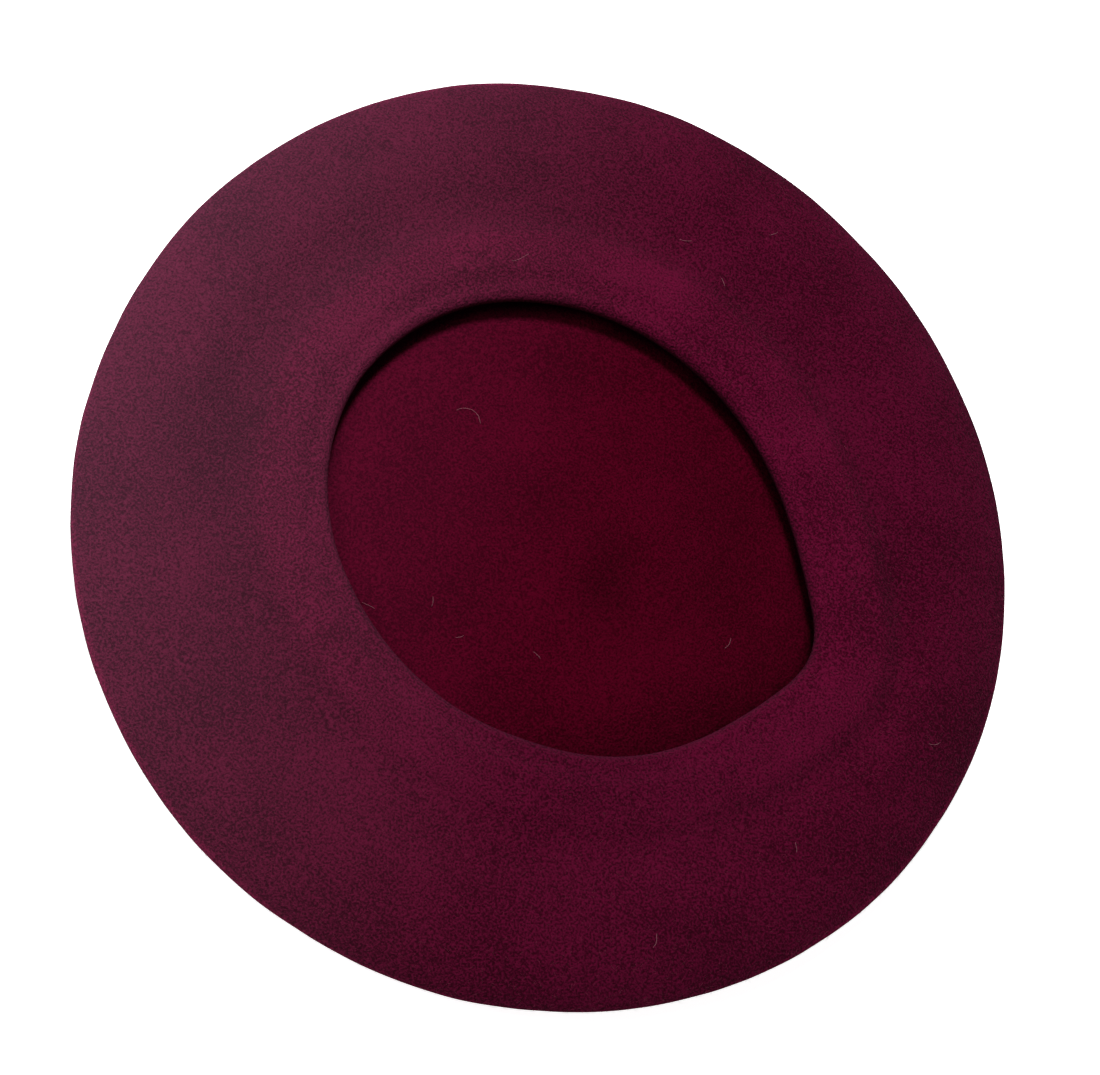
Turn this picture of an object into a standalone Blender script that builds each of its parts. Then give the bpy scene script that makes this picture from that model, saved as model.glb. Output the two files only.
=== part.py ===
"""A wool felt beret, lying on its crown with the head opening facing up.

Metres, +Z up out of the head opening. The origin is on the surface the crown rests on, under the
middle of the rim. +X runs along the opening's long axis, towards its sharper corner.
"""

import bpy
import bmesh
from math import atan2, cos, pi, radians, sin, sqrt
from mathutils import Vector

# Driving dimensions, in metres.
RIM_RADIUS = 0.140  # the beret measures 280 mm across
RIM_LINE_HEIGHT = 0.0105  # where the rim is widest, above the surface it lies on
RIM_UPRIGHT = 0.0008  # half the height of the rim's upright band, where crown and underside meet
FELT = 0.0024  # thickness of the fulled cloth
SPLIT_GAP = 0.0003  # clearance between touching solids

# The head opening: an oval with one sharper corner, measured at the edge of its rolled lip.
OPENING_CENTRE = (0.0055, -0.0042)
OPENING_HALF_LENGTH = 0.0718
OPENING_HALF_WIDTH = 0.0643
CORNER_REACH = 0.0125
CORNER_DIRECTION = radians(21.6)
CORNER_SPREAD = 0.304  # radians
SWAY = 0.0076  # the oval is this much fuller on one side
SWAY_DIRECTION = radians(137.5)

# The crown: flat where it rests, with a low mound in the middle over the folded stem.
CROWN_CENTRE = (0.012, -0.002)
MOUND_HEIGHT = 0.0055
MOUND_LEVEL_RADIUS = 0.019  # of the mound's level top
MOUND_RADIUS = 0.061
FLAT_RADIUS = 0.112
EYELET_RADIUS = 0.0019

# The underside: a puffed outer ring, a valley, a level collar of two plies and the rolled lip.
# What ends in OUT is measured from the lip's edge, square to it.
PUFF_RADIUS = 0.118
PUFF_TOP = 0.0180  # height of the puffed ring
VALLEY_OUT = 0.0260
VALLEY_HEIGHT = 0.0142
COLLAR_START_OUT = 0.0110
COLLAR_END_OUT = 0.0185
COLLAR_HEIGHT = 0.0154
LIP_RADIUS = 0.0035  # of the fold's outer face
LIP_HEIGHT = 0.0100  # of the middle of the fold
HEM_DEPTH = 0.0210  # from the lip's edge to the cut edge of the turned-in ply
HEM_PLY_GAP = 0.0005

# Trims.
ELASTIC_RADIUS = 0.00075
THREAD_RADIUS = 0.00035
CATCH_STITCHES = 60
CATCH_REACH = 0.0027  # how far each side of the cut edge a stitch reaches
STEM_LENGTH = 0.0160  # from its bend to its tip
STEM_RADIUS = 0.0020
STEM_TIP_RADIUS = 0.0016
STEM_PIVOT_HEIGHT = 0.0022
ANCHOR_NECK_RADIUS = 0.0015
ANCHOR_HEAD_RADIUS = 0.0036
ANCHOR_HEAD_HEIGHT = 0.0012
ANCHOR_DROP = 0.0008  # of the neck's end below the crown's outer face
LABEL_LENGTH = 0.0140
LABEL_WIDTH = 0.0260
LABEL_THICKNESS = 0.0007
LABEL_EDGE = 0.00028  # its rounded edges
LABEL_ROOT = (-0.0985, 0.0, 0.0106)
LABEL_SLOPE = radians(30)  # it hangs this far below level
LABEL_THREAD_RADIUS = 0.00025
LABEL_STITCHES = 8
LABEL_STITCH_LENGTH = 0.0234  # of the whole zigzag
LABEL_STITCH_RISE = 0.0012

# Colours, linear RGB.
FELT_COLOUR = (0.085, 0.0045, 0.016, 1.0)
THREAD_COLOUR = (0.060, 0.003, 0.012, 1.0)
ELASTIC_COLOUR = (0.015, 0.012, 0.013, 1.0)
LABEL_COLOUR = (0.60, 0.57, 0.52, 1.0)

# How finely each stretch of cloth is meshed.
RING_STEPS = 60
PUFF_STEPS = 6
SLOPE_STEPS = 4
FOLD_STEPS = 6
PLY_STEPS = 3
MOUND_STEPS = 6
WALL_STEPS = 6
ROUND_STEPS = 5


def collection_for_parts():
    """An empty scene with one collection, named for the object."""
    for leftover in list(bpy.data.objects):
        bpy.data.objects.remove(leftover, do_unlink=True)
    parts = bpy.data.collections.new("beret")
    bpy.context.scene.collection.children.link(parts)
    return parts


def material(name, colour, roughness):
    made = bpy.data.materials.new(name)
    made.use_nodes = True
    shader = made.node_tree.nodes["Principled BSDF"]
    shader.inputs["Base Color"].default_value = colour
    shader.inputs["Roughness"].default_value = roughness
    shader.inputs["Metallic"].default_value = 0.0
    return made


def add_part(parts, name, data, look, smooth=True):
    part = bpy.data.objects.new(name, data)
    parts.objects.link(part)
    data.materials.append(look)
    if smooth and isinstance(data, bpy.types.Mesh):
        data.shade_smooth()
    return part


def mix(a, b, share):
    return a + (b - a) * share


def ease(share):
    """0 to 1 with level ends, and level beyond them."""
    return 0.5 - 0.5 * cos(pi * min(1.0, max(0.0, share)))


def lip_radius(angle):
    """Distance from the opening's centre to the lip's edge."""
    oval = 1.0 / sqrt((cos(angle) / OPENING_HALF_LENGTH) ** 2 + (sin(angle) / OPENING_HALF_WIDTH) ** 2)
    away = atan2(sin(angle - CORNER_DIRECTION), cos(angle - CORNER_DIRECTION))
    corner = CORNER_REACH / (1 + (away / CORNER_SPREAD) ** 2)
    return oval + corner + SWAY * cos(angle - SWAY_DIRECTION)


def on_lip(angle):
    reach = lip_radius(angle)
    return Vector((OPENING_CENTRE[0] + reach * cos(angle), OPENING_CENTRE[1] + reach * sin(angle)))


def beyond_lip(angle, outward, height):
    """A point outward of the lip's edge, square to it."""
    nearby = 0.001
    along = on_lip(angle + nearby) - on_lip(angle - nearby)
    square = Vector((along.y, -along.x)).normalized()
    point = on_lip(angle) + square * outward
    return Vector((point.x, point.y, height))


def on_rim_circle(angle, radius, height):
    """A point on a circle about the origin, in the direction that a ray from the opening's centre meets it."""
    ray = Vector((cos(angle), sin(angle)))
    start = Vector(OPENING_CENTRE)
    along = start.dot(ray)
    reach = -along + sqrt(along * along - start.length_squared + radius * radius)
    point = start + ray * reach
    return Vector((point.x, point.y, height))


def collar_height(outward):
    """Height of the collar's upper face, from the top of the lip out to the valley."""
    if outward < COLLAR_START_OUT:
        lip_top = LIP_HEIGHT + LIP_RADIUS
        return mix(lip_top, COLLAR_HEIGHT, ease((outward - LIP_RADIUS) / (COLLAR_START_OUT - LIP_RADIUS)))
    return mix(COLLAR_HEIGHT, VALLEY_HEIGHT, ease((outward - COLLAR_END_OUT) / (VALLEY_OUT - COLLAR_END_OUT)))


def turned_ply_height(outward):
    """Height of the turned-in ply's lower face, which closes up to the ply above it away from the fold."""
    fold_depth = 2 * LIP_RADIUS
    closed_depth = 2 * FELT + HEM_PLY_GAP
    closing = ease((outward - LIP_RADIUS) / (COLLAR_START_OUT - LIP_RADIUS))
    return collar_height(outward) - mix(fold_depth, closed_depth, closing)


def on_puff(angle, turn):
    """A point on the rim's upper quarter, from the rim line at turn 0 to the puff's top at a right angle."""
    radius = mix(PUFF_RADIUS, RIM_RADIUS, cos(turn))
    height = mix(RIM_LINE_HEIGHT + RIM_UPRIGHT, PUFF_TOP, sin(turn))
    return on_rim_circle(angle, radius, height)


def on_slope(angle, share):
    """A point on the way from the puff's top down to the valley."""
    height = mix(PUFF_TOP, VALLEY_HEIGHT, ease(share))
    return mix(on_rim_circle(angle, PUFF_RADIUS, height), beyond_lip(angle, VALLEY_OUT, height), share)


def underside_rings():
    """The outer face of the underside, as one function of the angle for each ring, from rim to hem edge."""
    seam = RIM_LINE_HEIGHT + 0.5 * SPLIT_GAP
    rings = [lambda angle: on_rim_circle(angle, RIM_RADIUS, seam)]
    for step in range(PUFF_STEPS + 1):
        rings.append(lambda angle, turn=0.5 * pi * step / PUFF_STEPS: on_puff(angle, turn))
    for step in range(1, SLOPE_STEPS + 1):
        rings.append(lambda angle, share=step / SLOPE_STEPS: on_slope(angle, share))
    step_middle = mix(COLLAR_END_OUT, VALLEY_OUT, 0.5)
    rise_middle = mix(LIP_RADIUS, COLLAR_START_OUT, 0.5)
    for outward in (step_middle, COLLAR_END_OUT, COLLAR_START_OUT, rise_middle):
        rings.append(lambda angle, d=outward: beyond_lip(angle, d, collar_height(d)))
    for step in range(FOLD_STEPS + 1):
        turn = pi * step / FOLD_STEPS
        outward = LIP_RADIUS * (1 - sin(turn))
        height = LIP_HEIGHT + LIP_RADIUS * cos(turn)
        rings.append(lambda angle, d=outward, z=height: beyond_lip(angle, d, z))
    closing = (COLLAR_START_OUT - LIP_RADIUS) / PLY_STEPS
    closing_rings = [LIP_RADIUS + closing * step for step in range(1, PLY_STEPS + 1)]
    for outward in (*closing_rings, HEM_DEPTH):
        rings.append(lambda angle, d=outward: beyond_lip(angle, d, turned_ply_height(d)))
    return rings


def crown_height(radius):
    """Height of the crown's outer face over the surface it lies on, out to its flat zone."""
    return MOUND_HEIGHT * ease((MOUND_RADIUS - radius) / (MOUND_RADIUS - MOUND_LEVEL_RADIUS))


def crown_rings():
    """The outer face of the crown, from the eyelet out to the rim line."""
    radii = [EYELET_RADIUS, mix(EYELET_RADIUS, MOUND_LEVEL_RADIUS, 0.4)]
    fall = MOUND_RADIUS - MOUND_LEVEL_RADIUS
    radii += [MOUND_LEVEL_RADIUS + fall * step / MOUND_STEPS for step in range(MOUND_STEPS + 1)]
    rings = []
    for radius in radii:
        rings.append(
            lambda angle, r=radius: Vector(
                (CROWN_CENTRE[0] + r * cos(angle), CROWN_CENTRE[1] + r * sin(angle), crown_height(r))
            )
        )
    rings.append(lambda angle: Vector((FLAT_RADIUS * cos(angle), FLAT_RADIUS * sin(angle), 0.0)))
    wall_top = RIM_LINE_HEIGHT - RIM_UPRIGHT
    for step in range(1, WALL_STEPS + 1):
        turn = 0.5 * pi * step / WALL_STEPS
        radius = mix(FLAT_RADIUS, RIM_RADIUS, sin(turn))
        height = wall_top * (1 - cos(turn))
        rings.append(lambda angle, r=radius, z=height: Vector((r * cos(angle), r * sin(angle), z)))
    seam = RIM_LINE_HEIGHT - 0.5 * SPLIT_GAP
    rings.append(lambda angle: Vector((RIM_RADIUS * cos(angle), RIM_RADIUS * sin(angle), seam)))
    return rings


def skin_through(name, rings):
    """An open band of quads through closed rings that aren't all the same shape."""
    mesh = bmesh.new()
    angles = [2 * pi * step / RING_STEPS for step in range(RING_STEPS)]
    rows = [[mesh.verts.new(ring(angle)) for angle in angles] for ring in rings]
    for inner, outer in zip(rows, rows[1:]):
        for step in range(RING_STEPS):
            after = (step + 1) % RING_STEPS
            mesh.faces.new((inner[step], inner[after], outer[after], outer[step]))
    data = bpy.data.meshes.new(name)
    mesh.to_mesh(data)
    mesh.free()
    return data


def add_felt(parts, name, rings, look):
    """A felt panel: its outer face, thickened inwards to the cloth's thickness."""
    panel = add_part(parts, name, skin_through(name, rings), look)
    thickness = panel.modifiers.new("cloth thickness", "SOLIDIFY")
    thickness.thickness = FELT
    thickness.offset = -1.0
    thickness.use_even_offset = True
    thickness.use_rim = True
    return panel


def add_cord(parts, name, points, radius, look, closed, bevel_resolution=0):
    """A round cord or thread through the points."""
    curve = bpy.data.curves.new(name, "CURVE")
    curve.dimensions = "3D"
    curve.bevel_depth = radius
    curve.bevel_resolution = bevel_resolution
    curve.use_fill_caps = not closed
    spline = curve.splines.new("POLY")
    spline.points.add(len(points) - 1)
    for slot, point in zip(spline.points, points):
        slot.co = (*point, 1.0)
    spline.use_cyclic_u = closed
    return add_part(parts, name, curve, look)


def add_hem_elastic(parts, look):
    """The round elastic that lies in the fold of the lip, all the way round."""
    steps = RING_STEPS
    points = [beyond_lip(2 * pi * step / steps, LIP_RADIUS, LIP_HEIGHT) for step in range(steps)]
    add_cord(parts, "hem_elastic", points, ELASTIC_RADIUS, look, closed=True, bevel_resolution=1)


def add_hem_thread(parts, look):
    """The catch stitches that hold the turned-in ply's cut edge to the underside."""
    clear = THREAD_RADIUS + SPLIT_GAP
    ply_out = HEM_DEPTH - CATCH_REACH
    underside_out = HEM_DEPTH + CATCH_REACH
    on_ply = (ply_out, turned_ply_height(ply_out) - clear)
    under_edge = (HEM_DEPTH + 2 * clear, turned_ply_height(HEM_DEPTH) - 0.5 * clear)
    on_underside = (underside_out, collar_height(underside_out) - FELT - clear - SPLIT_GAP)
    route = (on_ply, under_edge, on_underside, under_edge)
    count = CATCH_STITCHES * len(route)
    points = []
    for step in range(count):
        outward, height = route[step % len(route)]
        points.append(beyond_lip(2 * pi * step / count, outward, height))
    add_cord(parts, "hem_thread", points, THREAD_RADIUS, look, closed=True)


def add_turned(parts, name, profile, look, steps=24):
    """A solid of revolution about its own Z axis, from (radius, height) points, top to bottom."""
    mesh = bmesh.new()
    verts = [mesh.verts.new((radius, 0.0, height)) for radius, height in profile]
    for first, second in zip(verts, verts[1:]):
        mesh.edges.new((first, second))
    data = bpy.data.meshes.new(name)
    mesh.to_mesh(data)
    mesh.free()
    part = add_part(parts, name, data, look)
    turn = part.modifiers.new("turned", "SCREW")
    turn.axis = "Z"
    turn.steps = steps
    turn.render_steps = steps
    turn.use_merge_vertices = True
    turn.merge_threshold = 0.00001
    return part


def add_stem_anchor(parts, look):
    """The stem's inner end: a neck through the eyelet and a small flattened head on the inside."""
    seat = SPLIT_GAP + FELT
    head_top = seat + ANCHOR_HEAD_HEIGHT
    profile = [(0.0, head_top)]
    for step in range(1, ROUND_STEPS + 1):
        turn = 0.5 * pi * step / ROUND_STEPS
        profile.append((ANCHOR_HEAD_RADIUS * sin(turn), mix(seat, head_top, cos(turn))))
    profile.append((ANCHOR_NECK_RADIUS, seat))
    profile.append((ANCHOR_NECK_RADIUS, -ANCHOR_DROP))
    profile.append((0.0, -ANCHOR_DROP))
    anchor = add_turned(parts, "stem_anchor", profile, look)
    anchor.location = (*CROWN_CENTRE, crown_height(0.0))


def add_stem(parts, look):
    """The short felt tail on the crown, folded flat under it. Its origin is at its bend."""
    profile = []
    tip_centre = STEM_LENGTH - STEM_TIP_RADIUS
    for step in range(ROUND_STEPS + 1):
        turn = 0.5 * pi * step / ROUND_STEPS
        profile.append((STEM_TIP_RADIUS * sin(turn), tip_centre + STEM_TIP_RADIUS * cos(turn)))
    for step in range(ROUND_STEPS + 1):
        turn = 0.5 * pi * (1 + step / ROUND_STEPS)
        profile.append((STEM_RADIUS * sin(turn), STEM_RADIUS * cos(turn)))
    stem = add_turned(parts, "stem", profile, look, steps=16)
    stem.location = (*CROWN_CENTRE, STEM_PIVOT_HEIGHT)
    stem.rotation_euler = (0.0, radians(-90), 0.0)


def add_label(parts, look):
    """The blank woven label, sewn in at the hem's cut edge and hanging free from there."""
    mesh = bmesh.new()
    bmesh.ops.create_cube(mesh, size=1.0)
    bmesh.ops.scale(mesh, verts=mesh.verts, vec=(LABEL_LENGTH, LABEL_WIDTH, LABEL_THICKNESS))
    bmesh.ops.translate(mesh, verts=mesh.verts, vec=(-0.5 * LABEL_LENGTH, 0.0, 0.0))
    data = bpy.data.meshes.new("fibre_label")
    mesh.to_mesh(data)
    mesh.free()
    label = add_part(parts, "fibre_label", data, look, smooth=False)
    edges = label.modifiers.new("folded edges", "BEVEL")
    edges.width = LABEL_EDGE
    edges.segments = 2
    label.location = LABEL_ROOT
    label.rotation_euler = (0.0, -LABEL_SLOPE, 0.0)


def add_label_stitches(parts, look):
    """The zigzag of thread along the label's sewn end."""
    inboard = LABEL_ROOT[0] + LABEL_THREAD_RADIUS + 2 * SPLIT_GAP
    half_width = 0.5 * LABEL_STITCH_LENGTH
    points = []
    for step in range(2 * LABEL_STITCHES + 1):
        across = mix(-half_width, half_width, step / (2 * LABEL_STITCHES))
        height = LABEL_ROOT[2] + LABEL_STITCH_RISE * (step % 2 - 0.5)
        points.append((inboard, across, height))
    add_cord(parts, "label_stitches", points, LABEL_THREAD_RADIUS, look, closed=False)


def main():
    parts = collection_for_parts()
    felt = material("wool_felt", FELT_COLOUR, 0.95)
    yarn = material("wool_yarn", THREAD_COLOUR, 0.9)
    elastic = material("elastic", ELASTIC_COLOUR, 0.8)
    ribbon = material("woven_label", LABEL_COLOUR, 0.6)
    add_felt(parts, "crown", crown_rings(), felt)
    add_felt(parts, "underside", underside_rings(), felt)
    add_hem_elastic(parts, elastic)
    add_hem_thread(parts, yarn)
    add_stem_anchor(parts, felt)
    add_stem(parts, felt)
    add_label(parts, ribbon)
    add_label_stitches(parts, yarn)


main()
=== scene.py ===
"""The looks of a wool felt beret that lies on its crown, with its head opening facing up.

Metres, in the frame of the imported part: +Z up out of the opening, the origin on the surface it lies on.
"""

import random
from math import atan2, cos, exp, pi, radians, sin, sqrt, tau

import bpy
from mathutils import Matrix, Vector, noise
from mathutils.bvhtree import BVHTree


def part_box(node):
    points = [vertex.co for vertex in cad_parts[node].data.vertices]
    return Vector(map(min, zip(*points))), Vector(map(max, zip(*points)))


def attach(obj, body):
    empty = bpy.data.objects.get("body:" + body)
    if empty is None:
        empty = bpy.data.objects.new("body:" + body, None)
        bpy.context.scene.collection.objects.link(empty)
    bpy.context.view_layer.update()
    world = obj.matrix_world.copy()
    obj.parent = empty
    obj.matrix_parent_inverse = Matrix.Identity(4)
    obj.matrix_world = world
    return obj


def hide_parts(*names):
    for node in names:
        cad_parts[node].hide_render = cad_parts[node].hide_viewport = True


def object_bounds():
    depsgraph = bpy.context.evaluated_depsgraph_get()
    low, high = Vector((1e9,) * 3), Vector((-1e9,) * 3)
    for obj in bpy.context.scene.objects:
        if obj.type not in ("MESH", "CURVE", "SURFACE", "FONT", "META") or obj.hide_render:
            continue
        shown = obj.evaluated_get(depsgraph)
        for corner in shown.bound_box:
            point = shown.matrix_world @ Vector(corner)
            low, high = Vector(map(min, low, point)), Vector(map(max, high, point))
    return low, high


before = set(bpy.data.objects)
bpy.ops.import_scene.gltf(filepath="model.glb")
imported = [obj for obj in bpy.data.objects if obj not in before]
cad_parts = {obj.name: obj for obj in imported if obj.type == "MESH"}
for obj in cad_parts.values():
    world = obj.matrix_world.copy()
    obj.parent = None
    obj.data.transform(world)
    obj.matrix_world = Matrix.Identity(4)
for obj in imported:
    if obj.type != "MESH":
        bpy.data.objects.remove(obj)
cad_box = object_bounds()
low_corner, high_corner = cad_box

# Driving dimensions. The outline's come from the frame, and the rest are the part's own. What ends in
# OUT or END, and HEM_DEPTH, is measured outward of the lip's edge.
RIM_RADIUS = 0.5 * (high_corner.x - low_corner.x)
PUFF_TOP = high_corner.z
HALF_SPLIT = 0.00015  # half the gap that parts the CAD crown from the underside
RIM_LINE_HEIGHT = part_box("crown")[1].z + HALF_SPLIT
FELT = 0.0024
OPENING_CENTRE = (0.0055, -0.0042)
OPENING_HALF_LENGTH = 0.0718
OPENING_HALF_WIDTH = 0.0643
CORNER_REACH = 0.0125
CORNER_DIRECTION = radians(21.6)
CORNER_SPREAD = 0.304
SWAY = 0.0076
SWAY_DIRECTION = radians(137.5)
CROWN_CENTRE = (0.012, -0.002)
BUMP_RISE = 0.0028  # of the crown's inside over the stem's end
BUMP_WIDTH = 0.0090
BUMP_SHADOW_CENTRE = (0.023, -0.006)  # painted shade on the low side of the bump
BUMP_SHADOW_WIDTH = 0.010
PILLOW_SIDE = radians(-16)  # the inside of the crown puffs up along the lip on this side
PILLOW_RISE = 0.0024
PILLOW_START = 0.034  # inward of the lip's edge
PILLOW_FULL = 0.014
SHADED_SIDE = radians(-46)  # the hem band's painted shade is deepest on this side
PAINTED_SHEEN_SIDE = radians(204)  # painted sheen is strongest at the rim on this side and fades to none on the other
MOUND_HEIGHT = 0.0055
MOUND_LEVEL = 0.019  # radius of the mound's level top
MOUND_RADIUS = 0.061
FLAT_RADIUS = 0.112
EYELET_RADIUS = 0.0019
ANCHOR_SEAT = 0.0027  # height of the stem anchor's head over the crown's outer face
ANCHOR_ROOM_RADIUS = 0.0041  # of the hollow in the felt that holds the head
ANCHOR_ROOM_TOP = 0.0043
PUFF_RADIUS = 0.118
VALLEY_OUT = 0.0260
VALLEY_HEIGHT = 0.0142
COLLAR_OUT = 0.0110
COLLAR_END = 0.0185
COLLAR_HEIGHT = 0.0154
LIP_RADIUS = 0.0035
LIP_HEIGHT = 0.0100
HEM_DEPTH = 0.0210
HEM_EDGE_OUT = 0.0235  # where the lighter band over the hem ends
HEM_PLY_GAP = 0.0005
STEM_LENGTH = 0.0160
STEM_RADIUS = 0.0020
STEM_PIVOT_HEIGHT = 0.0022
LABEL_LENGTH = 0.0140
LABEL_WIDTH = 0.0260
LABEL_TAPE = 0.00035  # thickness of the woven tape
LABEL_SAG = 0.0005
LABEL_WAVE = 0.00025  # of its free end, from side to side
LABEL_ROOT = Vector((-0.0985, 0.0, 0.0106))
LABEL_SLOPE = radians(30)

# What hand blocking leaves: an outline that isn't quite round, and an uneven surface.
OUTLINE_TURN = radians(43.5)
OUTLINE_THREE_LOBES = 0.00085
OUTLINE_TWO_LOBES = 0.00040
OUTLINE_START = 0.085  # radius where the outline's unevenness begins
BROAD_UNEVENNESS = 0.00045
FINE_UNEVENNESS = 0.00012

ROOM_LIGHT = 0.07  # how strongly the pale room lights the hat, next to the lamps
ROOM_SEEN = 0.95  # how bright the room itself looks
FLOOR_GLOW = 1.05

# How the felt's lightness varies, as shares of its plain colour. Apart from the lighter band over the hem,
# these are painted shade, painted shadow and a painted highlight.
BAND_LIGHTNESS = 1.28  # of the lighter band over the hem
BAND_SHADE = 0.30  # painted shade: what the band loses on its shaded side
RIM_SHEEN_RADIUS = 0.1385  # painted highlight for the rim's sheen: the rim is painted lighter from here out
RIM_SHEEN_WIDTH = 0.0015
RIM_SHEEN_GAIN = 0.9
FOLD_SHADOW_LIGHTNESS = 0.10  # painted shadow round the inside of the lip's fold
UNDER_LIP_SHADOW_LIGHTNESS = 0.30  # painted shadow on the crown's inside, under the lip
DIVE_SHADE = 0.36  # painted shade in the crease beside the lip on the pillow's side
DIVE_WIDTH = 0.008
# painted shade on the low side of the stem's bump
BUMP_SHADE = 0.20

# How finely the cloth is meshed.
ANGLE_STEPS = 420
HOLLOW_RINGS = 5  # of the crown's, in the hollow that holds the stem's end
FOLD_STEPS = 14
PLY_STEPS = 14

NAP_FIBRES = 9000
NAP_RINGS_BELOW_RIM = 8
BARE_RINGS = 26  # with no nap, at the hem's end of the cloth
NAP_SHORTEST = 0.0008
NAP_LONGEST = 0.0022
NAP_THINNEST = 0.000018
NAP_THICKEST = 0.000030
LINT_RADIUS = 0.00004

# Pale hairs: x and y in millimetres, heading in degrees, length in millimetres, total turn in degrees.
LINT = (
    (-46, 6, 70, 10, -80),
    (-26, -57, 20, 4, 10),
    (-11, -44, 110, 3, 20),
    (0, -46, 40, 2.5, 10),
    (22, -34, 160, 3, 30),
    (60, 9, 80, 4, 20),
    (-34, 93, 20, 4, 40),
    (-15, 114, 60, 3, 10),
    (-14, 92, 140, 3, 20),
    (98, -76, 100, 4, 30),
    (122, 26, 30, 4, 60),
    (112, -27, 120, 3, 20),
    (-65, 48, 45, 6, 5),
)

# Colours, linear RGB.
FELT_DEEP = (0.028, 0.0006, 0.0055, 1.0)
FELT_BRIGHT = (0.090, 0.0026, 0.0205, 1.0)
INNER_DEEP = (0.030, 0.0002, 0.0036, 1.0)
INNER_BRIGHT = (0.072, 0.0006, 0.0092, 1.0)
PAINTED_SHEEN_TINT = (0.027, 0.0150, 0.0225)  # painted sheen: what is added to the colour at the rim on the sheen side
# painted sheen added to the inside's colour
INNER_PAINTED_SHEEN_TINT = (0.040, 0.0050, 0.0160)
NAP_TINT = (1.0, 0.60, 0.92, 1.0)
NAP_COLOUR = (0.16, 0.016, 0.040, 1.0)
LINT_COLOUR = (0.30, 0.11, 0.14, 1.0)
YARN_COLOUR = (0.060, 0.003, 0.012, 1.0)
ELASTIC_COLOUR = (0.015, 0.012, 0.013, 1.0)
LABEL_COLOUR = (0.60, 0.57, 0.52, 1.0)
FLOOR_COLOUR = (0.90, 0.90, 0.90, 1.0)


def mix(a, b, share):
    return a + (b - a) * share


def ease(share):
    """0 to 1 with level ends."""
    return 0.5 - 0.5 * cos(pi * max(0.0, min(1.0, share)))


# --- Shapes of the cloth -------------------------------------------------------------------------


def lip_radius(angle):
    """Distance from the opening's centre to the lip's edge: an oval with one sharper corner."""
    oval = 1.0 / sqrt((cos(angle) / OPENING_HALF_LENGTH) ** 2 + (sin(angle) / OPENING_HALF_WIDTH) ** 2)
    away = atan2(sin(angle - CORNER_DIRECTION), cos(angle - CORNER_DIRECTION))
    corner = CORNER_REACH / (1 + (away / CORNER_SPREAD) ** 2)
    return oval + corner + SWAY * cos(angle - SWAY_DIRECTION)


def on_lip(angle):
    reach = lip_radius(angle)
    return Vector((OPENING_CENTRE[0] + reach * cos(angle), OPENING_CENTRE[1] + reach * sin(angle)))


def beyond_lip(angle, outward, height):
    """A point outward of the lip's edge, square to it."""
    nearby = 0.001
    along = on_lip(angle + nearby) - on_lip(angle - nearby)
    square = Vector((along.y, -along.x)).normalized()
    point = on_lip(angle) + square * outward
    return Vector((point.x, point.y, height))


def on_rim_circle(angle, radius, height):
    """Where a ray from the opening's centre meets a circle about the origin."""
    ray = Vector((cos(angle), sin(angle)))
    start = Vector(OPENING_CENTRE)
    along = start.dot(ray)
    reach = -along + sqrt(along * along - start.length_squared + radius * radius)
    point = start + ray * reach
    return Vector((point.x, point.y, height))


def collar_height(outward):
    """Height of the collar's upper face, from the top of the lip out to the valley."""
    lip_top = LIP_HEIGHT + LIP_RADIUS
    if outward < COLLAR_OUT:
        return mix(lip_top, COLLAR_HEIGHT, ease((outward - LIP_RADIUS) / (COLLAR_OUT - LIP_RADIUS)))
    return mix(COLLAR_HEIGHT, VALLEY_HEIGHT, ease((outward - COLLAR_END) / (VALLEY_OUT - COLLAR_END)))


def turned_ply_height(outward):
    """Height of the turned-in ply's lower face."""
    closing = ease((outward - LIP_RADIUS) / (COLLAR_OUT - LIP_RADIUS))
    return collar_height(outward) - mix(2 * LIP_RADIUS, 2 * FELT + HEM_PLY_GAP, closing)


def rim_reach(angle):
    """How far the rim's outline stands out of a true circle: hand blocking never leaves it quite round."""
    turned = OUTLINE_TURN - angle
    return OUTLINE_THREE_LOBES * sin(3 * turned) + OUTLINE_TWO_LOBES * sin(2 * turned)


def stretched(point):
    """The point, moved outward with the rim's outline, more so the nearer it is to the rim."""
    flat = Vector((point.x, point.y))
    share = ease((flat.length - OUTLINE_START) / (RIM_RADIUS - OUTLINE_START))
    flat *= 1 + share * rim_reach(atan2(point.y, point.x)) / RIM_RADIUS
    return Vector((flat.x, flat.y, point.z))


def crown_height(radius):
    """Height of the crown's outer face over the surface it lies on."""
    return MOUND_HEIGHT * ease((MOUND_RADIUS - radius) / (MOUND_RADIUS - MOUND_LEVEL))


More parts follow.
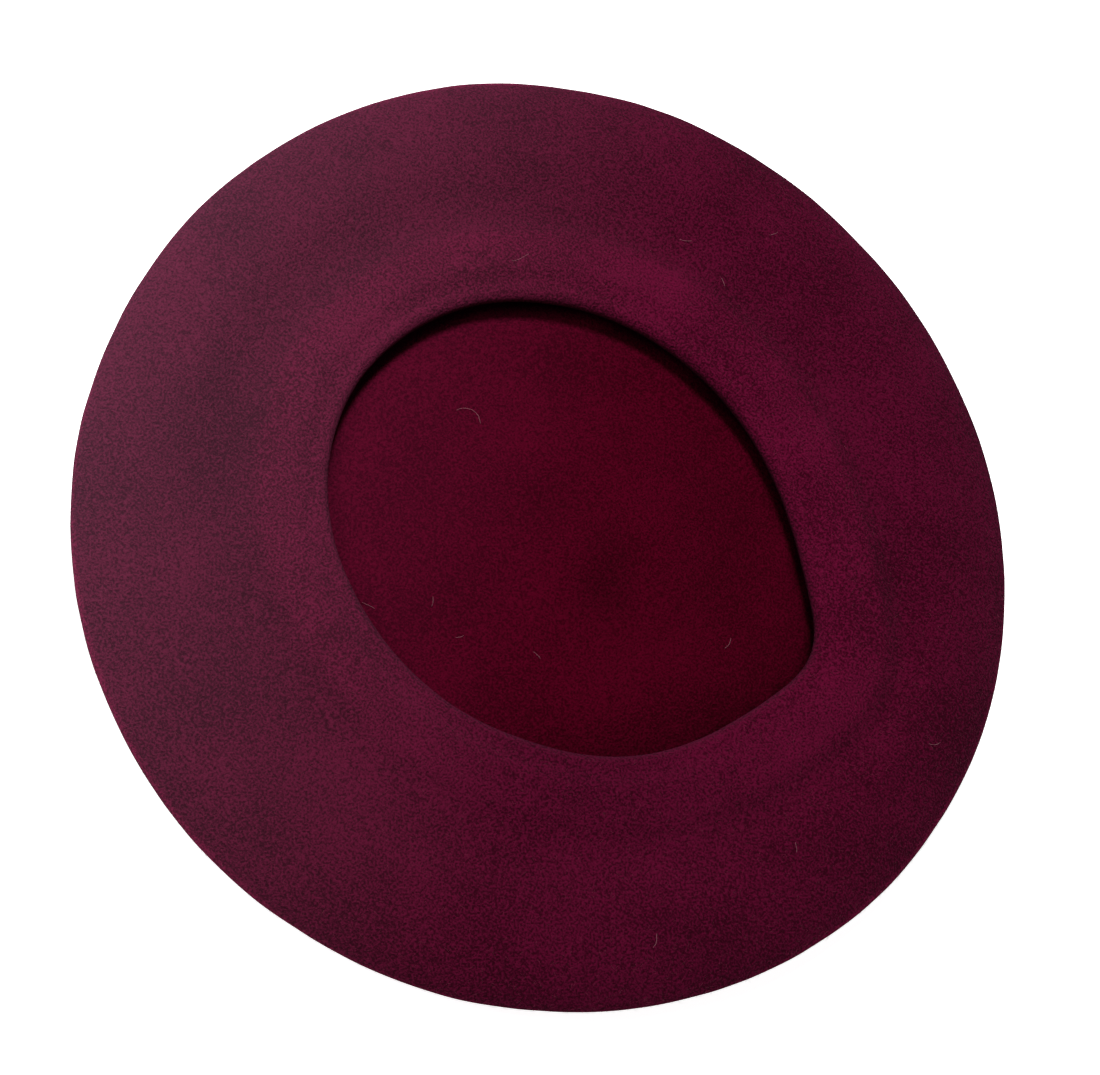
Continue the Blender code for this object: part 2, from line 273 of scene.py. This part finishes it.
def crown_rings():
    """The crown's outer face from the eyelet to the rim line, one function of the angle for each ring."""
    rings = []
    hollow = (
        (0.0001, ANCHOR_ROOM_TOP),
        (0.6 * ANCHOR_ROOM_RADIUS, ANCHOR_ROOM_TOP - 0.0002),
        (ANCHOR_ROOM_RADIUS, mix(ANCHOR_SEAT, ANCHOR_ROOM_TOP, 0.4)),
        (ANCHOR_ROOM_RADIUS, ANCHOR_SEAT - 0.0003),
        (EYELET_RADIUS, ANCHOR_SEAT - 0.0005),
    )
    for radius, rise in hollow:
        rings.append(
            lambda angle, r=radius, z=crown_height(radius) + rise: Vector(
                (CROWN_CENTRE[0] + r * cos(angle), CROWN_CENTRE[1] + r * sin(angle), z)
            )
        )
    mound_steps = 56
    for step in range(mound_steps):
        radius = EYELET_RADIUS + (MOUND_RADIUS - EYELET_RADIUS) * (step / mound_steps) ** 1.25
        rings.append(
            lambda angle, r=radius: Vector(
                (CROWN_CENTRE[0] + r * cos(angle), CROWN_CENTRE[1] + r * sin(angle), crown_height(r))
            )
        )
    flat_steps = 12
    middle = Vector((CROWN_CENTRE[0], CROWN_CENTRE[1], 0))
    for step in range(flat_steps):
        rings.append(
            lambda angle, s=step / flat_steps: mix(
                middle + MOUND_RADIUS * Vector((cos(angle), sin(angle), 0)),
                FLAT_RADIUS * Vector((cos(angle), sin(angle), 0)),
                s,
            )
        )
    wall_steps = 22
    for step in range(wall_steps):
        turn = 0.5 * pi * step / wall_steps
        radius = mix(FLAT_RADIUS, RIM_RADIUS, sin(turn))
        height = RIM_LINE_HEIGHT * (1 - cos(turn))
        rings.append(lambda angle, r=radius, z=height: Vector((r * cos(angle), r * sin(angle), z)))
    return rings


def underside_rings():
    """The underside's outer face: from the rim line over the puff and collar, round the lip to the hem."""
    rings = []
    puff_steps = 20
    for step in range(puff_steps + 1):
        turn = 0.5 * pi * step / puff_steps
        radius = mix(PUFF_RADIUS, RIM_RADIUS, cos(turn))
        height = mix(RIM_LINE_HEIGHT, PUFF_TOP, sin(turn))
        rings.append(lambda angle, r=radius, z=height: on_rim_circle(angle, r, z))
    slope_steps = 20
    for step in range(1, slope_steps + 1):
        share = step / slope_steps
        height = mix(PUFF_TOP, VALLEY_HEIGHT, ease(share))
        rings.append(
            lambda angle, s=share, z=height: mix(
                on_rim_circle(angle, PUFF_RADIUS, z), beyond_lip(angle, VALLEY_OUT, z), s
            )
        )
    collar_steps = 26
    for step in range(1, collar_steps):
        outward = mix(VALLEY_OUT, LIP_RADIUS, step / collar_steps)
        rings.append(lambda angle, d=outward: beyond_lip(angle, d, collar_height(d)))
    for step in range(FOLD_STEPS + 1):
        turn = pi * step / FOLD_STEPS
        outward = LIP_RADIUS * (1 - sin(turn))
        height = LIP_HEIGHT + LIP_RADIUS * cos(turn)
        rings.append(lambda angle, d=outward, z=height: beyond_lip(angle, d, z))
    for step in range(1, PLY_STEPS + 1):
        outward = mix(LIP_RADIUS, HEM_DEPTH, step / PLY_STEPS)
        rings.append(lambda angle, d=outward: beyond_lip(angle, d, turned_ply_height(d)))
    return rings


def mesh_object(name, points, faces):
    data = bpy.data.meshes.new(name)
    data.from_pydata(points, [], faces)
    data.update()
    data.shade_smooth()
    made = bpy.data.objects.new(name, data)
    bpy.context.scene.collection.objects.link(made)
    return made


def ring_faces(rows, columns, first=0, turned=False):
    """Quads between rows of closed rings."""
    faces = []
    for row in range(rows - 1):
        for column in range(columns):
            after = (column + 1) % columns
            here = first + row * columns
            corners = (here + column, here + after, here + columns + after, here + columns + column)
            faces.append(corners[::-1] if turned else corners)
    return faces


def soft_unevenness(point):
    """How far hand blocking leaves the cloth from a true shape, in metres along its normal."""
    broad = noise.noise(point * 28.0)
    fine = noise.noise(point * 110.0 + Vector((3, 5, 7)))
    return BROAD_UNEVENNESS * broad + FINE_UNEVENNESS * fine


def bump_over_stem(point):
    """How far the inside of the crown rises over the stem's end, with slight puckers round it."""
    away = Vector((point.x - CROWN_CENTRE[0], point.y - CROWN_CENTRE[1]))
    radius = away.length
    angle = atan2(away.y, away.x)
    rise = BUMP_RISE * exp(-((radius / BUMP_WIDTH) ** 2))
    dip = -0.00040 * exp(-(((radius - 0.0190) / 0.0060) ** 2))
    pucker = 0.00008 * cos(5 * angle + 0.6) * exp(-(((radius - 0.011) / 0.005) ** 2))
    return rise + dip + pucker


def toward(point, middle, side):
    """The cosine between a point's direction from a middle and a given direction."""
    away = Vector((point.x - middle[0], point.y - middle[1]))
    return cos(atan2(away.y, away.x) - side)


def inside_lip(point):
    """How far a point lies inward of the lip's edge, negative beyond it."""
    away = Vector((point.x - OPENING_CENTRE[0], point.y - OPENING_CENTRE[1]))
    return lip_radius(atan2(away.y, away.x)) - away.length


def pillow(point):
    """How far the inside of the crown puffs up along the lip on its low side, diving again at the lip."""
    inward = inside_lip(point)
    side = max(0.0, toward(point, OPENING_CENTRE, PILLOW_SIDE)) ** 2
    rising = ease((PILLOW_START - inward) / (PILLOW_START - PILLOW_FULL))
    return PILLOW_RISE * side * ease(inward / PILLOW_FULL) * rising


def outer_lightness(point, row, fold_row):
    """The outer face's lightness against its plain colour: a lighter band over the hem with painted shade on
    one side, a painted highlight for sheen at the rim, and painted shadow round the inside of the fold.
    """
    beyond = -inside_lip(point)
    band = 1 - ease((beyond - COLLAR_END) / (HEM_EDGE_OUT - COLLAR_END))
    # The band over the hem is lighter, with painted shade on its shaded side.
    shaded = max(0.0, toward(point, OPENING_CENTRE, SHADED_SIDE)) ** 2
    level = mix(1.0, BAND_LIGHTNESS - BAND_SHADE * shaded, band)
    # A painted highlight lightens the rim, standing for its sheen.
    rim_sheen = ease((point.xy.length - RIM_SHEEN_RADIUS) / RIM_SHEEN_WIDTH)
    level *= 1 + RIM_SHEEN_GAIN * rim_sheen
    # Painted shadow round the inside of the fold.
    if row >= fold_row:
        level *= mix(1.0, FOLD_SHADOW_LIGHTNESS, ease((LIP_HEIGHT + 0.001 - point.z) / 0.003))
    return level


def inner_lightness(point):
    """The inside of the crown's lightness: painted shadow under the lip, and painted shade in the crease on
    the pillow's side and on the low side of the stem's bump.
    """
    side = max(0.0, toward(point, OPENING_CENTRE, PILLOW_SIDE)) ** 2
    # Painted shade in the crease beside the lip, on the pillow's side.
    dive = 1 - ease(inside_lip(point) / DIVE_WIDTH)
    # Painted shade on the low side of the stem's bump.
    hollow = exp(-(((point.xy - Vector(BUMP_SHADOW_CENTRE)).length / BUMP_SHADOW_WIDTH) ** 2))
    # Painted shadow under the lip.
    under = mix(UNDER_LIP_SHADOW_LIGHTNESS, 1.0, ease((inside_lip(point) + 0.0020) / 0.0032))
    return under * (1 - DIVE_SHADE * side * dive) * (1 - BUMP_SHADE * hollow)


# The lightness attribute holds the felt's painted shade, painted shadow and painted highlight, and its
# lighter hem band.
def mark_lightness(cloth, rows):
    light = cloth.data.attributes.new("lightness", "FLOAT", "POINT")
    outer = rows * ANGLE_STEPS
    fold_row = rows - FOLD_STEPS - PLY_STEPS
    for number, vertex in enumerate(cloth.data.vertices):
        if number < outer:
            level = outer_lightness(vertex.co, number // ANGLE_STEPS, fold_row)
        else:
            level = inner_lightness(vertex.co)
        light.data[number].value = level


def mark_painted_sheen(cloth):
    """Marks as "painted_sheen" how much painted sheen the felt's colour gets: about 1 at the rim of one side,
    about 0 on the other.
    """
    # A share of painted sheen for each point, strongest at the rim on one side.
    painted_sheen = cloth.data.attributes.new("painted_sheen", "FLOAT", "POINT")
    side = Vector((cos(PAINTED_SHEEN_SIDE), sin(PAINTED_SHEEN_SIDE)))
    rounding = 0.01
    for number, vertex in enumerate(cloth.data.vertices):
        share = 0.03 + vertex.co.xy.dot(side) / RIM_RADIUS
        painted_sheen.data[number].value = 0.5 * (share + sqrt(share * share + rounding))


def inside_of_crown(point):
    """The inner face over the middle of the crown, straight above a point of its outer face."""
    radius = (Vector((point.x, point.y)) - Vector(CROWN_CENTRE)).length
    return Vector((point.x, point.y, crown_height(radius) + FELT + bump_over_stem(point)))


def make_cloth():
    """The whole felt body: one seamless skin, from the hollow over the stem's end round to the hem."""
    angles = [tau * step / ANGLE_STEPS for step in range(ANGLE_STEPS)]
    rings = crown_rings() + underside_rings()
    outer = [stretched(ring(angle)) for ring in rings for angle in angles]
    shape = mesh_object("felt_shape", outer, ring_faces(len(rings), ANGLE_STEPS))
    normals = [Vector(item.vector) for item in shape.data.vertex_normals]
    bpy.data.objects.remove(shape, do_unlink=True)
    outside = []
    inside = []
    for number, (point, normal) in enumerate(zip(outer, normals)):
        if number < HOLLOW_RINGS * ANGLE_STEPS:
            share = number // ANGLE_STEPS / HOLLOW_RINGS
            spread = mix(0.02, 1.0, share) * EYELET_RADIUS
            angle = angles[number % ANGLE_STEPS]
            x = CROWN_CENTRE[0] + spread * cos(angle)
            y = CROWN_CENTRE[1] + spread * sin(angle)
            outside.append(point)
            inside.append(inside_of_crown(Vector((x, y, 0))))
            continue
        free = ease((point.z - 0.0004) / 0.004)
        shift = normal * (free * soft_unevenness(point))
        outside.append(point + shift)
        below_rim_line = point.z < RIM_LINE_HEIGHT
        if below_rim_line and (Vector((point.x, point.y)) - Vector(CROWN_CENTRE)).length < MOUND_LEVEL:
            inside.append(inside_of_crown(point) + shift)
            continue
        thickness = FELT + 0.00008 * noise.noise(point * 300.0)
        if below_rim_line:
            thickness += bump_over_stem(point) + pillow(point)
        inside.append(point + shift - normal * thickness)
    rows = len(rings)
    count = len(outside)
    faces = ring_faces(rows, ANGLE_STEPS)
    faces += ring_faces(rows, ANGLE_STEPS, first=count, turned=True)
    last = (rows - 1) * ANGLE_STEPS
    for column in range(ANGLE_STEPS):
        after = (column + 1) % ANGLE_STEPS
        faces.append((last + column, last + after, count + last + after, count + last + column))
    faces.append(tuple(range(ANGLE_STEPS))[::-1])
    faces.append(tuple(range(count, count + ANGLE_STEPS)))
    cloth = mesh_object("felt_cloth", outside + inside, faces)
    mark_lightness(cloth, rows)
    mark_painted_sheen(cloth)
    return cloth


def closed_tube(path, radii, sides=3):
    """Points and faces of a thin closed tube along a path, with one radius for each of its points."""
    points = []
    faces = []
    for number, (point, radius) in enumerate(zip(path, radii)):
        before = path[max(0, number - 1)]
        after = path[min(len(path) - 1, number + 1)]
        along = (after - before).normalized()
        side = along.cross(Vector((0.31, 0.17, 0.93))).normalized()
        other = along.cross(side)
        for step in range(sides):
            turn = tau * step / sides
            points.append(point + radius * (cos(turn) * side + sin(turn) * other))
    faces.append(tuple(range(sides))[::-1])
    for number in range(len(path) - 1):
        for step in range(sides):
            after = (step + 1) % sides
            here = number * sides
            faces.append((here + step, here + after, here + sides + after, here + sides + step))
    start = (len(path) - 1) * sides
    faces.append(tuple(range(start, start + sides)))
    return points, faces


def joined_tubes(name, tubes):
    """One object from many tubes."""
    points = []
    faces = []
    for tube_points, tube_faces in tubes:
        first = len(points)
        points += tube_points
        faces += [tuple(first + corner for corner in face) for face in tube_faces]
    return mesh_object(name, points, faces)


def make_nap(cloth, rows):
    """Loose fibre ends that stand out of the underside and the rim, between two rows of the cloth."""
    chance = random.Random(11)
    first = rows[0] * ANGLE_STEPS
    last = rows[1] * ANGLE_STEPS
    vertices = cloth.data.vertices
    tubes = []
    while len(tubes) < NAP_FIBRES:
        root = vertices[chance.randrange(first, last)]
        if chance.random() > (root.co.xy.length / RIM_RADIUS) ** 1.5:
            continue
        normal = Vector(cloth.data.vertex_normals[root.index].vector)
        lean = Vector((chance.gauss(0, 1), chance.gauss(0, 1), chance.gauss(0, 1)))
        lean = (lean - normal * lean.dot(normal)).normalized()
        length = chance.uniform(NAP_SHORTEST, NAP_LONGEST)
        lift = chance.uniform(0.15, 0.75)
        curl = normal.cross(lean) * chance.uniform(-0.6, 0.6)
        start = root.co - normal * 0.0002
        middle = start + (lean + normal * lift) * length * 0.5
        end = middle + (lean + curl + normal * lift * 0.2) * length * 0.5
        width = chance.uniform(NAP_THINNEST, NAP_THICKEST)
        tubes.append(closed_tube([start, middle, end], [width, width * 0.8, width * 0.3]))
    return joined_tubes("felt_nap", tubes)


def make_lint(cloth):
    """The few pale hairs that lie on the felt."""
    tree = BVHTree.FromObject(cloth, bpy.context.evaluated_depsgraph_get())
    chance = random.Random(5)
    tubes = []
    for across, along, direction, length, curl in LINT:
        start = Vector((across, along)) / 1000
        heading = radians(direction)
        path = []
        steps = 9
        for step in range(steps):
            hit = tree.ray_cast(Vector((start.x, start.y, 0.08)), Vector((0, 0, -1)))[0]
            lift = 0.00018 + 0.00025 * sin(pi * step / (steps - 1))
            path.append(hit + Vector((0, 0, lift)))
            start += Vector((cos(heading), sin(heading))) * length / 1000 / (steps - 1)
            heading += radians(curl) / (steps - 1) + chance.gauss(0, 0.12)
        tubes.append(closed_tube(path, [LINT_RADIUS] * steps, sides=5))
    return joined_tubes("lint", tubes)


def make_stem():
    """The felted tail under the crown, uneven and a little bent, laid along the CAD stem's own line."""
    path = []
    radii = []
    steps = 28
    for step in range(steps + 1):
        share = step / steps
        along = mix(-STEM_RADIUS, STEM_LENGTH, share)
        place = Vector((CROWN_CENTRE[0] - along, CROWN_CENTRE[1], STEM_PIVOT_HEIGHT))
        place.y += 0.0003 * sin(5 * share)
        end = min(1.0, sin(pi * min(1.0, 0.02 + 0.96 * share)) * 3.2)
        taper = mix(0.96, 0.80, share) + 0.03 * noise.noise(Vector((share * 9, 1, 2)))
        path.append(place)
        radii.append(STEM_RADIUS * taper * sqrt(max(0.02, end * (2 - end))))
    tube, faces = closed_tube(path, radii, sides=20)
    return mesh_object("felted_stem", tube, faces)


def make_label():
    """The woven tape, lying in a slight curve from its sewn end at the hem."""
    wide = 26
    long = 14
    rows = []
    for height in (0.5, -0.5):
        for step in range(long + 1):
            along = step / long
            for place in range(wide + 1):
                across = place / wide - 0.5
                sag = LABEL_SAG * sin(pi * along) + LABEL_WAVE * sin(pi * 2 * across) * along
                away = along * LABEL_LENGTH
                x = -away * cos(LABEL_SLOPE) - sag * sin(LABEL_SLOPE)
                z = -away * sin(LABEL_SLOPE) + sag * cos(LABEL_SLOPE) * 0.6 + height * LABEL_TAPE
                rows.append(LABEL_ROOT + Vector((x, across * LABEL_WIDTH, z)))
    row = wide + 1
    below = (long + 1) * row
    faces = []
    for step in range(long):
        for place in range(wide):
            here = step * row + place
            faces.append((here, here + row, here + row + 1, here + 1))
            here += below
            faces.append((here, here + 1, here + row + 1, here + row))
    edge = list(range(row))
    edge += [step * row + wide for step in range(1, long + 1)]
    edge += [long * row + place for place in range(wide - 1, -1, -1)]
    edge += [step * row for step in range(long - 1, 0, -1)]
    for here, after in zip(edge, edge[1:] + edge[:1]):
        faces.append((here, after, below + after, below + here))
    return mesh_object("woven_label", rows, faces)


# --- Materials -----------------------------------------------------------------------------------


class Nodes:
    """Short calls for building one material's nodes."""

    def __init__(self, name, roughness):
        self.material = bpy.data.materials.new(name)
        self.material.use_nodes = True
        self.tree = self.material.node_tree
        self.shader = self.tree.nodes["Principled BSDF"]
        self.shader.inputs["Roughness"].default_value = roughness
        self.place = self.add("ShaderNodeTexCoord").outputs["Object"]

    def add(self, kind, **settings):
        node = self.tree.nodes.new(kind)
        for name, value in settings.items():
            setattr(node, name, value)
        return node

    def join(self, output, target):
        self.tree.links.new(output, target)

    def noise(self, scale, roughness=0.5, kind="FBM"):
        node = self.add("ShaderNodeTexNoise", noise_type=kind)
        node.inputs["Scale"].default_value = scale
        node.inputs["Detail"].default_value = 3.0
        node.inputs["Roughness"].default_value = roughness
        self.join(self.place, node.inputs["Vector"])
        return node.outputs["Fac"]

    def ramp(self, value, stops):
        node = self.add("ShaderNodeValToRGB")
        elements = node.color_ramp.elements
        while len(elements) < len(stops):
            elements.new(0.5)
        for element, (position, colour) in zip(elements, stops):
            element.position = position
            element.color = colour
        self.join(value, node.inputs["Fac"])
        return node.outputs["Color"]

    def math(self, operation, first, second):
        node = self.add("ShaderNodeMath", operation=operation)
        for slot, value in enumerate((first, second)):
            if isinstance(value, (int, float)):
                node.inputs[slot].default_value = value
            else:
                self.join(value, node.inputs[slot])
        return node.outputs["Value"]

    def scaled(self, vector, amount):
        """A colour times an amount. The colour is a node's output, or three numbers."""
        node = self.add("ShaderNodeVectorMath", operation="SCALE")
        if isinstance(vector, tuple):
            node.inputs[0].default_value = vector
        else:
            self.join(vector, node.inputs[0])
        self.join(amount, node.inputs["Scale"])
        return node.outputs["Vector"]

    def bump(self, height, depth):
        node = self.add("ShaderNodeBump")
        node.inputs["Distance"].default_value = depth
        node.inputs["Strength"].default_value = 1.0
        self.join(height, node.inputs["Height"])
        self.join(node.outputs["Normal"], self.shader.inputs["Normal"])


def felt_material(name, bloom, deep, bright, painted_sheen_colour):
    """Burgundy fulled wool, mottled at the scale of its fibres.

    bloom is how much light its nap scatters as sheen, and painted_sheen_colour is the painted sheen that the
    painted_sheen attribute adds to its colour.
    """
    felt = Nodes(name, 0.75)
    felt.shader.inputs["Specular IOR Level"].default_value = 0.0
    felt.shader.inputs["Sheen Weight"].default_value = 0.02 * bloom
    felt.shader.inputs["Sheen Roughness"].default_value = 0.6
    felt.shader.inputs["Sheen Tint"].default_value = NAP_TINT
    grain = felt.noise(1500.0, roughness=0.6)
    fibres = felt.noise(520.0, kind="RIDGED_MULTIFRACTAL")
    patches = felt.noise(34.0)
    tone = felt.math("ADD", felt.math("MULTIPLY", grain, 0.80), felt.math("MULTIPLY", patches, 0.20))
    colour = felt.ramp(tone, [(0.415, deep), (0.585, bright)])
    # lightness scales the colour: painted shade, painted shadow, painted highlight and the lighter hem band.
    lightness = felt.add("ShaderNodeAttribute", attribute_name="lightness").outputs["Fac"]
    painted_sheen = felt.add("ShaderNodeAttribute", attribute_name="painted_sheen").outputs["Fac"]
    speckle = felt.math("ADD", 0.35, felt.math("MULTIPLY", grain, 1.3))
    total = felt.add("ShaderNodeVectorMath", operation="ADD")
    felt.join(felt.scaled(colour, lightness), total.inputs[0])
    # Painted sheen, grained, added to the colour.
    felt.join(felt.scaled(painted_sheen_colour, felt.math("MULTIPLY", painted_sheen, speckle)), total.inputs[1])
    felt.join(total.outputs["Vector"], felt.shader.inputs["Base Color"])
    height = felt.math("ADD", grain, felt.math("MULTIPLY", fibres, 0.25))
    felt.bump(height, 0.0009)
    return felt.material


def yarn_material(name, colour):
    yarn = Nodes(name, 0.85)
    yarn.shader.inputs["Sheen Weight"].default_value = 0.3
    yarn.shader.inputs["Sheen Tint"].default_value = NAP_TINT
    ply = yarn.noise(1500.0)
    bright = tuple(min(1.0, 1.6 * value) for value in colour[:3]) + (1.0,)
    yarn.join(yarn.ramp(ply, [(0.3, colour), (0.7, bright)]), yarn.shader.inputs["Base Color"])
    yarn.bump(ply, 0.0002)
    return yarn.material


def label_material():
    """Plain woven tape."""
    tape = Nodes("woven_tape", 0.55)
    weave = tape.add("ShaderNodeTexWave", wave_type="BANDS", bands_direction="Y")
    weave.inputs["Scale"].default_value = 900.0
    tape.join(tape.place, weave.inputs["Vector"])
    bright = tuple(min(1.0, 1.15 * value) for value in LABEL_COLOUR[:3]) + (1.0,)
    colour = tape.ramp(weave.outputs["Fac"], [(0.0, LABEL_COLOUR), (1.0, bright)])
    tape.join(colour, tape.shader.inputs["Base Color"])
    tape.bump(weave.outputs["Fac"], 0.0001)
    return tape.material


def plain_material(name, colour, roughness):
    """An even surface, for the floor and the loose hairs."""
    made = bpy.data.materials.new(name)
    made.use_nodes = True
    shader = made.node_tree.nodes["Principled BSDF"]
    shader.inputs["Base Color"].default_value = colour
    shader.inputs["Roughness"].default_value = roughness
    return made


# --- Stage ---------------------------------------------------------------------------------------


def make_camera():
    """The photographer's place: above the hat, a little to the near side, with the camera rolled."""
    target = Vector((0.0, -0.0070, 0.0128))
    distance = 0.600
    elevation = radians(68.1)
    roll = radians(43.5)
    back = Vector((0, -cos(elevation), sin(elevation)))
    level_right = Vector((1, 0, 0))
    level_up = back.cross(level_right)
    right = level_right * cos(roll) + level_up * sin(roll)
    up = level_up * cos(roll) - level_right * sin(roll)
    data = bpy.data.cameras.new("camera")
    data.sensor_width = 36.0
    data.lens = 67.94
    data.clip_start = 0.01
    camera = bpy.data.objects.new("camera", data)
    turned = Matrix((right, up, back)).transposed().to_4x4()
    camera.matrix_world = Matrix.Translation(target + back * distance) @ turned
    bpy.context.scene.collection.objects.link(camera)
    bpy.context.scene.camera = camera


def make_light(name, direction, elevation, distance, size, power):
    """A square soft light that faces the hat."""
    data = bpy.data.lights.new(name, "AREA")
    data.energy = power
    data.size = size
    light = bpy.data.objects.new(name, data)
    aim = Vector((cos(direction) * cos(elevation), sin(direction) * cos(elevation), sin(elevation)))
    light.location = aim * distance
    light.rotation_euler = aim.to_track_quat("Z", "Y").to_euler()
    bpy.context.scene.collection.objects.link(light)


def make_stage():
    """A plain pale floor in a pale room, with one soft key light and a weak fill."""
    half = 3.0
    corners = [(-half, -half, 0), (half, -half, 0), (half, half, 0), (-half, half, 0)]
    floor = mesh_object("floor", corners, [(0, 1, 2, 3)])
    surface = plain_material("pale_floor", FLOOR_COLOUR, 0.9)
    shader = surface.node_tree.nodes["Principled BSDF"]
    shader.inputs["Emission Color"].default_value = FLOOR_COLOUR
    shader.inputs["Emission Strength"].default_value = FLOOR_GLOW
    floor.data.materials.append(surface)
    make_light("key", radians(150), radians(68), distance=1.2, size=0.22, power=14.9)
    make_light("fill", radians(215), radians(55), distance=0.55, size=0.25, power=1.05)
    world = bpy.data.worlds.new("soft_room")
    world.use_nodes = True
    background = world.node_tree.nodes["Background"]
    background.inputs["Color"].default_value = (1.0, 1.0, 1.0, 1.0)
    seen = world.node_tree.nodes.new("ShaderNodeLightPath").outputs["Is Camera Ray"]
    strength = world.node_tree.nodes.new("ShaderNodeMapRange")
    strength.inputs["To Min"].default_value = ROOM_LIGHT
    strength.inputs["To Max"].default_value = ROOM_SEEN
    world.node_tree.links.new(seen, strength.inputs["Value"])
    world.node_tree.links.new(strength.outputs["Result"], background.inputs["Strength"])
    bpy.context.scene.world = world
    bpy.context.scene.view_settings.view_transform = "Standard"


# --- The model -----------------------------------------------------------------------------------

make_camera()
make_stage()

brushed_felt = felt_material("brushed_felt", 1.0, FELT_DEEP, FELT_BRIGHT, PAINTED_SHEEN_TINT)
inner_felt = felt_material("inner_felt", 0.2, INNER_DEEP, INNER_BRIGHT, INNER_PAINTED_SHEEN_TINT)
cloth = make_cloth()
cloth.data.materials.append(brushed_felt)
cloth.data.materials.append(inner_felt)
ring_count = len(crown_rings()) + len(underside_rings())
outer_faces = (ring_count - 1) * ANGLE_STEPS
for number, face in enumerate(cloth.data.polygons):
    face.material_index = 1 if number >= outer_faces else 0
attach(cloth, "felt")
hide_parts("crown", "underside")

nap = make_nap(cloth, (len(crown_rings()) - NAP_RINGS_BELOW_RIM, ring_count - BARE_RINGS))
nap.data.materials.append(plain_material("loose_fibres", NAP_COLOUR, 0.8))
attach(nap, "felt")
lint = make_lint(cloth)
lint.data.materials.append(plain_material("pale_hairs", LINT_COLOUR, 0.7))
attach(lint, "felt")

stem = make_stem()
plain_lightness = stem.data.attributes.new("lightness", "FLOAT", "POINT")
for mark in plain_lightness.data:
    mark.value = 1.0
stem.data.materials.append(brushed_felt)
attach(stem, "stem")
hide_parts("stem")

label = make_label()
label.data.materials.append(label_material())
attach(label, "label")
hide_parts("fibre_label")

for node, look in (
    ("hem_elastic", yarn_material("elastic_yarn", ELASTIC_COLOUR)),
    ("hem_thread", yarn_material("sewing_thread", YARN_COLOUR)),
    ("stem_anchor", yarn_material("anchor_yarn", YARN_COLOUR)),
    ("label_stitches", yarn_material("label_thread", YARN_COLOUR)),
):
    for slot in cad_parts[node].material_slots:
        slot.material = look
